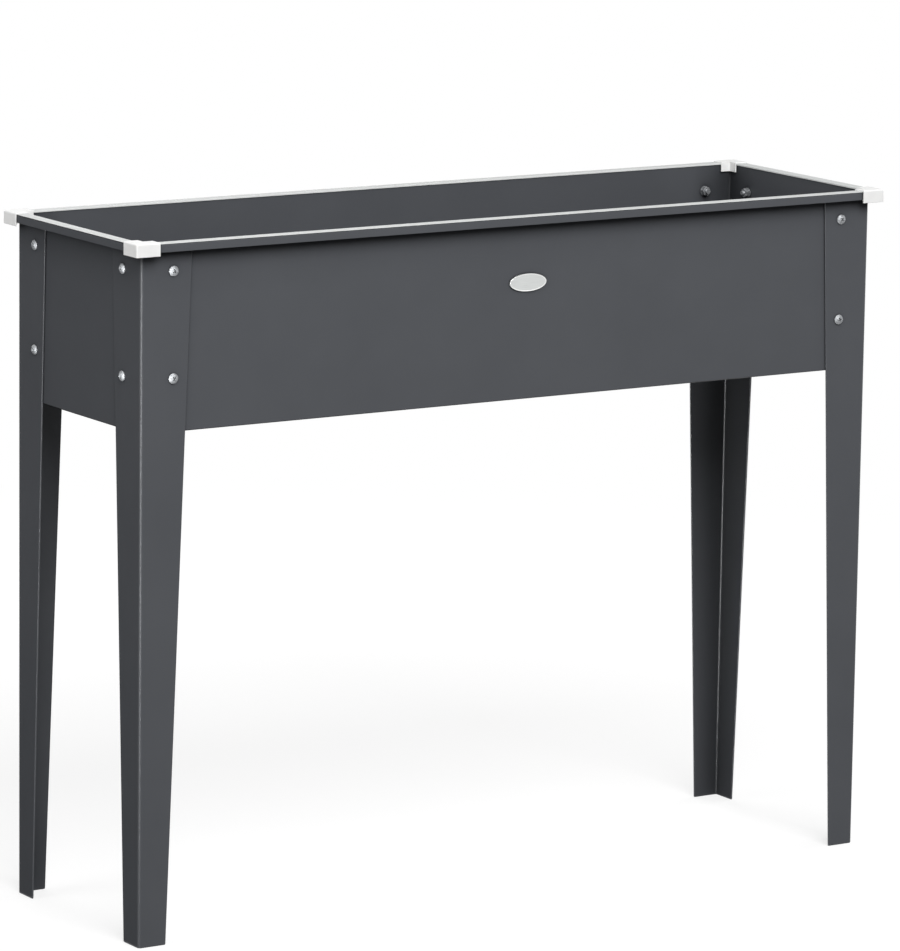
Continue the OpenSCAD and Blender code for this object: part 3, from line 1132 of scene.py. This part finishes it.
@dataclass
class Studio:
    """The pale floor, the soft light and the camera at the photograph's angle."""

    floor_size: tuple[float, float] = (60.0, 60.0)
    floor_bounce: str = "#646464"
    floor_glow: float = 0.72
    glow_span: tuple[float, float] = (1.0, 2.5)
    sky_level: float = 0.08
    velvet: str = "#1A1A1A"
    flag_place: tuple[float, float, float] = (-1.5, 1.3, 0.8)
    flag_size: tuple[float, float] = (3.0, 1.6)
    flag_turn: float = 57.0
    cloth_place: tuple[float, float, float] = (-0.75, 0.8, 0.002)
    cloth_size: tuple[float, float] = (2.5, 1.88)
    screen_place: tuple[float, float, float] = (1.3, 1.9, 1.25)
    screen_size: tuple[float, float] = (2.8, 2.2)
    screen_turn: float = -30.0
    camera_place: tuple[float, float, float] = (-3.5289, -5.5367, 1.6907)
    yaw: float = 32.521
    pitch: float = 10.505
    roll: float = 0.803
    focal_length: float = 215.45
    sensor: float = 36.0
    sight: float = 200.0
    softboxes: list[Softbox] = field(
        default_factory=lambda: [
            Softbox("softbox_front", (-0.9, -3.9, 4.25), (0.0, 0.0, 0.5), (3.5, 3.5), 347.0),
            Softbox("softbox_front_right", (2.1, -2.5, 2.2), (0.2, 0.0, 0.3), (1.4, 1.2), 10.0),
            Softbox("softbox_left", (-3.0, 0.2, 1.2), (0.0, 0.0, 0.5), (1.8, 1.4), 34.0),
            Softbox("softbox_right", (3.0, 0.2, 1.2), (0.0, 0.0, 0.5), (2.0, 1.4), 34.0),
            Softbox("softbox_back", (0.3, 3.0, 1.2), (0.0, 0.0, 0.5), (2.6, 1.6), 56.0),
            Softbox("strip_edges", (-1.2, -0.6, 0.47), (-0.5, -0.14, 0.4), (0.2, 0.94), 22.0, False),
            Softbox(
                "strip_inner_fold", (-0.016, -0.18, 0.27), (0.49, 0.14, 0.28), (0.24, 0.5), 1.1, False, 40.0
            ),
        ]
    )

    def seen(self, tree: bpy.types.NodeTree) -> bpy.types.NodeSocket:
        """Tell rays that look at the background from rays that gather light.

        Args:
            tree: the floor's or the world's node tree.

        Returns:
            An output that is 1 for camera, glossy and transmission rays.
        """
        path = add_node(tree, "ShaderNodeLightPath").outputs
        eyes = {0: path["Is Camera Ray"], 1: path["Is Glossy Ray"]}
        some = add_node(tree, "ShaderNodeMath", eyes, operation="ADD")
        glass = {0: some.outputs["Value"], 1: path["Is Transmission Ray"]}
        return add_node(tree, "ShaderNodeMath", glass, operation="ADD", use_clamp=True).outputs["Value"]

    def sheet(
        self, name: str, size: tuple[float, float], place: Matrix, material: bpy.types.Material
    ) -> bpy.types.Object:
        """Make one flat sheet of the studio.

        Args:
            name: the sheet's name.
            size: its two lengths.
            place: where it goes, from lying in the middle of the floor.
            material: its material.

        Returns:
            The sheet, which is no part of the object.
        """
        bm = bmesh.new()
        bmesh.ops.create_grid(bm, x_segments=1, y_segments=1, size=0.5)
        bmesh.ops.scale(bm, vec=(*size, 1.0), verts=bm.verts)
        bmesh.ops.transform(bm, matrix=place, verts=bm.verts)
        mesh = bpy.data.meshes.new(name)
        bm.to_mesh(mesh)
        bm.free()
        mesh.materials.append(material)
        sheet = bpy.data.objects.new(name, mesh)
        bpy.context.scene.collection.objects.link(sheet)
        return sheet

    def lay_floor(self) -> None:
        """Make the floor, white to the eye but with the object's shadow on it."""
        material, tree, place = start_material("studio_floor_white")
        bounce = add_node(tree, "ShaderNodeBsdfDiffuse", {"Color": linear(self.floor_bounce)})
        white = add_node(tree, "ShaderNodeBsdfDiffuse", {"Color": WHITE})
        glow = add_node(tree, "ShaderNodeEmission", {"Color": WHITE, "Strength": 1.0})
        away = add_node(tree, "ShaderNodeVectorMath", {0: place}, operation="LENGTH").outputs["Value"]
        near, far = self.glow_span
        rise = {"Value": away, "From Min": near, "From Max": far, "To Min": self.floor_glow}
        sweep = add_node(tree, "ShaderNodeMapRange", rise, interpolation_type="SMOOTHSTEP")
        lit = {0: sweep.outputs["Result"], 1: white.outputs["BSDF"], 2: glow.outputs["Emission"]}
        shown = add_node(tree, "ShaderNodeMixShader", lit)
        looks = {0: self.seen(tree), 1: bounce.outputs["BSDF"], 2: shown.outputs["Shader"]}
        whole = add_node(tree, "ShaderNodeMixShader", looks)
        connect(tree, tree.nodes["Material Output"], {"Surface": whole.outputs["Shader"]})
        floor = self.sheet("studio_floor", self.floor_size, Matrix.Identity(4), material)
        # The floor is left out of the occlusion that paints shade into the coat, so the feet keep the tone of
        # the paint above them.
        floor.visible_shadow = False

    def set_flags(self) -> None:
        """Set black flags round the left end and behind, seen only by reflections."""
        material, tree, _ = start_material("studio_flag_black")
        velvet = add_node(tree, "ShaderNodeBsdfDiffuse", {"Color": linear(self.velvet)})
        connect(tree, tree.nodes["Material Output"], {"Surface": velvet.outputs["BSDF"]})
        for name, place, size, tip, turn in (
            ("studio_flag_upright", self.flag_place, self.flag_size, 90, self.flag_turn),
            ("studio_flag_flat", self.cloth_place, self.cloth_size, 0, 0),
            ("studio_flag_behind", self.screen_place, self.screen_size, 90, self.screen_turn),
        ):
            tipped = Matrix.Rotation(math.radians(tip), 4, "X")
            facing = Matrix.Rotation(math.radians(turn), 4, "Z")
            flag = self.sheet(name, size, Matrix.Translation(place) @ facing @ tipped, material)
            flag.visible_camera = flag.visible_diffuse = False
            flag.visible_shadow = flag.visible_transmission = False

    def fill_sky(self) -> None:
        """Light the scene from all round, and show plain white behind it."""
        world = bpy.data.worlds.new("studio_world")
        bpy.context.scene.world = world
        world.use_nodes = True
        tree = world.node_tree
        tree.nodes.clear()
        fill = add_node(tree, "ShaderNodeBackground", {"Color": WHITE, "Strength": self.sky_level})
        backdrop = add_node(tree, "ShaderNodeBackground", {"Color": WHITE, "Strength": 1.0})
        sky = {0: self.seen(tree), 1: fill.outputs["Background"], 2: backdrop.outputs["Background"]}
        both = add_node(tree, "ShaderNodeMixShader", sky)
        add_node(tree, "ShaderNodeOutputWorld", {"Surface": both.outputs["Shader"]})

    def set_camera(self) -> None:
        """Stand the camera where the photograph was taken from."""
        yaw, pitch, roll = (math.radians(a) for a in (self.yaw, self.pitch, self.roll))
        look = Vector((math.sin(yaw) * math.cos(pitch), math.cos(yaw) * math.cos(pitch), -math.sin(pitch)))
        level = look.cross(Vector((0, 0, 1))).normalized()
        raised = level.cross(look)
        right = math.cos(roll) * level + math.sin(roll) * raised
        up = math.cos(roll) * raised - math.sin(roll) * level
        lens = bpy.data.cameras.new("photo_camera")
        lens.sensor_fit = "VERTICAL"
        lens.sensor_width = lens.sensor_height = self.sensor
        lens.lens = self.focal_length
        lens.clip_end = self.sight
        camera = bpy.data.objects.new("photo_camera", lens)
        camera.rotation_euler = Matrix((right, up, -look)).transposed().to_euler()
        camera.location = self.camera_place
        bpy.context.scene.collection.objects.link(camera)
        bpy.context.scene.camera = camera

    def build(self) -> None:
        """Set up the floor, the sky, the lamps and the camera."""
        self.lay_floor()
        self.set_flags()
        self.fill_sky()
        for softbox in self.softboxes:
            softbox.hang()
        self.set_camera()
        bpy.context.scene.view_settings.view_transform = "Standard"


def main() -> None:
    """Build the planter piece by piece and light it."""
    logging.basicConfig(level=logging.INFO, format="%(name)s: %(message)s")
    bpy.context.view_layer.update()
    body = Body()
    coat = PowderCoat().make()
    zinc = ZincPlate().make()
    Trough(body).build(coat)
    # The cut edges get a lighter coat that paints in their highlight, free of painted shade. The inside of
    # the legs gets the painted shade in its colour only, so its reflection stays full.
    cut_edge = PowderCoat("cut_edge", "#5C5E62", "#585A5E", shade_tone=1.0, shade_gloss=1.0).make()
    Legs(body).build(coat, PowderCoat("leg_inside", shade_gloss=1.0).make(), cut_edge)
    RimStrips(body).build({run: ExtrudedPlastic(run).make() for run in Run})
    CornerCaps(body).build(MouldedPlastic().make())
    Bolts(body).build(zinc)
    border = SatinAluminium("border", "#E2E3E2", "#DADBDA", 0.3).make()
    Badge(body).build(border, SatinAluminium("field", "#CDCFCE", "#C2C4C3", 0.4).make())
    Studio().build()
    bpy.context.view_layer.update()


if __name__ == "__main__":
    main()
